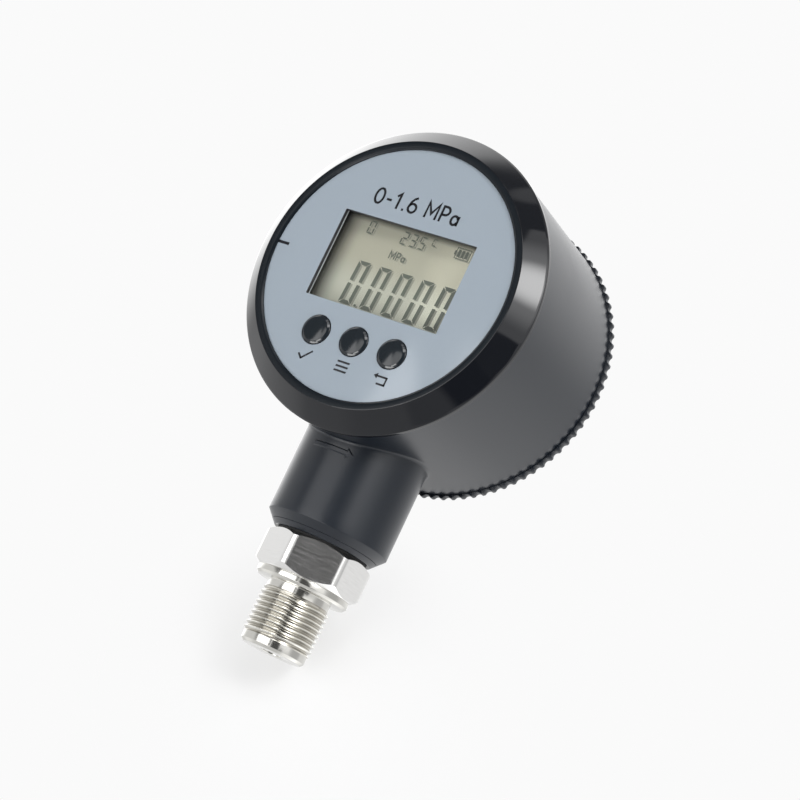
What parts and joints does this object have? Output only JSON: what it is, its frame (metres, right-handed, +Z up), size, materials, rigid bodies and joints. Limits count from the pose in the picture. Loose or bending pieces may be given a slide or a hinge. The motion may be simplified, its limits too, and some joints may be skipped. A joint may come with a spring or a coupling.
{
  "type": "digital pressure gauge",
  "caption": "Round digital pressure gauge with a display window, push buttons, a deep barrel case, a fluted screw cover and a threaded steel stem below.",
  "frame": {"origin": "centre of the pressure port's mouth at the lower end of the stem", "axes": "+Z up the stem to the head, the dial faces -Y, +X to the reader's right"},
  "size_m": [0.0892, 0.0589, 0.1472],
  "materials": {
    "black_moulding": "satin moulded plastic",
    "gloss_black": "polished moulded plastic",
    "grey_panel": "gloss printed plate",
    "clear_lens": "clear polished plate",
    "display": "reflective display cell",
    "steel": "turned and milled stainless steel",
    "seal_rubber": "matt black rubber",
    "white_moulding": "moulded plastic",
    "board_laminate": "coated board laminate",
    "chip_package": "moulded package",
    "plated_metal": "nickel plated",
    "ceramic": "fired ceramic",
    "battery_sleeve": "plain shrunk sleeve"
  },
  "bodies": {
    "gauge": {"antenna": "ceramic", "battery": "battery_sleeve", "battery_contacts": "plated_metal", "battery_holder": "white_moulding", "bezel_seal": "seal_rubber", "board_screws": "plated_metal", "case_body": "black_moulding", "face_panel": "grey_panel", "front_bezel": "gloss_black", "holder_screws": "plated_metal", "lcd_frame": "black_moulding", "lcd_glass": "display", "left_switch": "chip_package", "main_board": "board_laminate", "middle_switch": "chip_package", "neck_seal": "seal_rubber", "process_connection": "steel", "processor_chip": "chip_package", "radio_module": "plated_metal", "right_switch": "chip_package", "sensor_capsule": "ceramic", "sensor_retainer": "steel", "sensor_seal": "seal_rubber", "window_lens": "clear_lens"},
    "left_key": {"left_button": "gloss_black", "left_plunger": "white_moulding"},
    "middle_key": {"middle_button": "gloss_black", "middle_plunger": "white_moulding"},
    "right_key": {"right_button": "gloss_black", "right_plunger": "white_moulding"},
    "cover_carrier": {"cover_seal": "seal_rubber"},
    "cover": {"rear_cover": "black_moulding"}
  },
  "joints": [
    {"name": "left_press", "type": "slide", "parent": "gauge", "child": "left_key", "axis": [0, 1, 0], "range_m": [0, 0.0004], "stiffness_N_per_m": 2500},
    {"name": "middle_press", "type": "slide", "parent": "gauge", "child": "middle_key", "axis": [0, 1, 0], "range_m": [0, 0.0004], "stiffness_N_per_m": 2500},
    {"name": "right_press", "type": "slide", "parent": "gauge", "child": "right_key", "axis": [0, 1, 0], "range_m": [0, 0.0004], "stiffness_N_per_m": 2500},
    {"name": "cover_travel", "type": "slide", "parent": "gauge", "child": "cover_carrier", "axis": [0, 1, 0], "range_m": [0, 0.006]},
    {"name": "cover_turn", "type": "hinge", "parent": "cover_carrier", "child": "cover", "pos_m": [0, 0.0235, 0.1026], "axis": [0, 1, 0], "range_deg": [0, 1080]}
  ],
  "couplings": [
    {"joint": "cover_travel", "follows": "cover_turn", "m_per_rad": 0.00031831}
  ]
}
